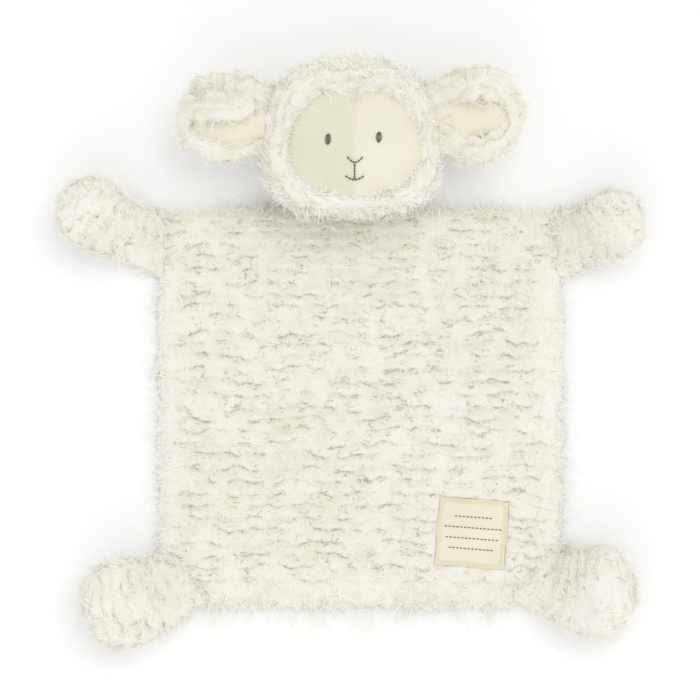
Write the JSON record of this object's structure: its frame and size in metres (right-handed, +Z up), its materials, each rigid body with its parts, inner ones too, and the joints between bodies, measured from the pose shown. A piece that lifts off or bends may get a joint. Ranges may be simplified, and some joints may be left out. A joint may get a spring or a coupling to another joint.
{
  "type": "comfort blanket toy",
  "caption": "Baby's flat shaggy comfort blanket in the shape of a lamb, with a stuffed head, floppy ears, hands and feet that fold along its edge.",
  "frame": {"origin": "middle of the blanket's underside, on the surface that the toy lies on", "axes": "+Z up out of the blanket's shaggy side, +Y from the blanket towards the head, +X to the picture's right"},
  "size_m": [0.3458, 0.3446, 0.0641],
  "materials": {
    "pile": "shaggy plush",
    "wool": "shaggy plush",
    "velour": "short smooth velour",
    "underside": "short smooth velour",
    "filling": "loose fibre",
    "thread": "satin stitch",
    "ribbon": "woven patch"
  },
  "bodies": {
    "blanket": {"blanket_front_panel": "pile", "blanket_back_panel": "underside", "label_patch": "ribbon"},
    "head": {"head_side_left": "wool", "head_side_right": "wool", "face_left": "velour", "face_right": "velour", "head_stuffing": "filling", "eye_left": "thread", "eye_right": "thread", "nose_stitch": "thread", "lip_stitch": "thread", "mouth_stitch": "thread", "neck_gather": "wool"},
    "ear_left": {"ear_left_wool": "wool", "ear_left_lining": "velour"},
    "ear_right": {"ear_right_wool": "wool", "ear_right_lining": "velour"},
    "arm_left": {"arm_left_front": "wool", "arm_left_back": "wool", "arm_left_stuffing": "filling"},
    "arm_right": {"arm_right_front": "wool", "arm_right_back": "wool", "arm_right_stuffing": "filling"},
    "leg_left": {"leg_left_front": "wool", "leg_left_back": "wool", "leg_left_stuffing": "filling"},
    "leg_right": {"leg_right_front": "wool", "leg_right_back": "wool", "leg_right_stuffing": "filling"}
  },
  "joints": [
    {"name": "neck_nod", "type": "hinge", "parent": "blanket", "child": "head", "pos_m": [-0.005, 0.1145, 0.00215], "axis": [1, 0, 0], "range_deg": [0, 40]},
    {"name": "ear_left_flop", "type": "hinge", "parent": "head", "child": "ear_left", "pos_m": [-0.05568, 0.168, 0.027], "axis": [0, 1, 0], "range_deg": [-20, 60], "stiffness_Nm_per_rad": 0.02},
    {"name": "ear_right_flop", "type": "hinge", "parent": "head", "child": "ear_right", "pos_m": [0.04561, 0.169, 0.027], "axis": [0, -1, 0], "range_deg": [-20, 60], "stiffness_Nm_per_rad": 0.02},
    {"name": "arm_left_fold", "type": "hinge", "parent": "blanket", "child": "arm_left", "pos_m": [-0.1175, 0.0965, 0.00215], "axis": [0, 1, 0], "range_deg": [0, 70]},
    {"name": "arm_right_fold", "type": "hinge", "parent": "blanket", "child": "arm_right", "pos_m": [0.1175, 0.0965, 0.00215], "axis": [0, -1, 0], "range_deg": [0, 100]},
    {"name": "leg_left_fold", "type": "hinge", "parent": "blanket", "child": "leg_left", "pos_m": [-0.1044, -0.1014, 0.00215], "axis": [-0.7071, 0.7071, 0], "range_deg": [0, 95]},
    {"name": "leg_right_fold", "type": "hinge", "parent": "blanket", "child": "leg_right", "pos_m": [0.1044, -0.1014, 0.00215], "axis": [-0.7071, -0.7071, 0], "range_deg": [0, 95]}
  ]
}
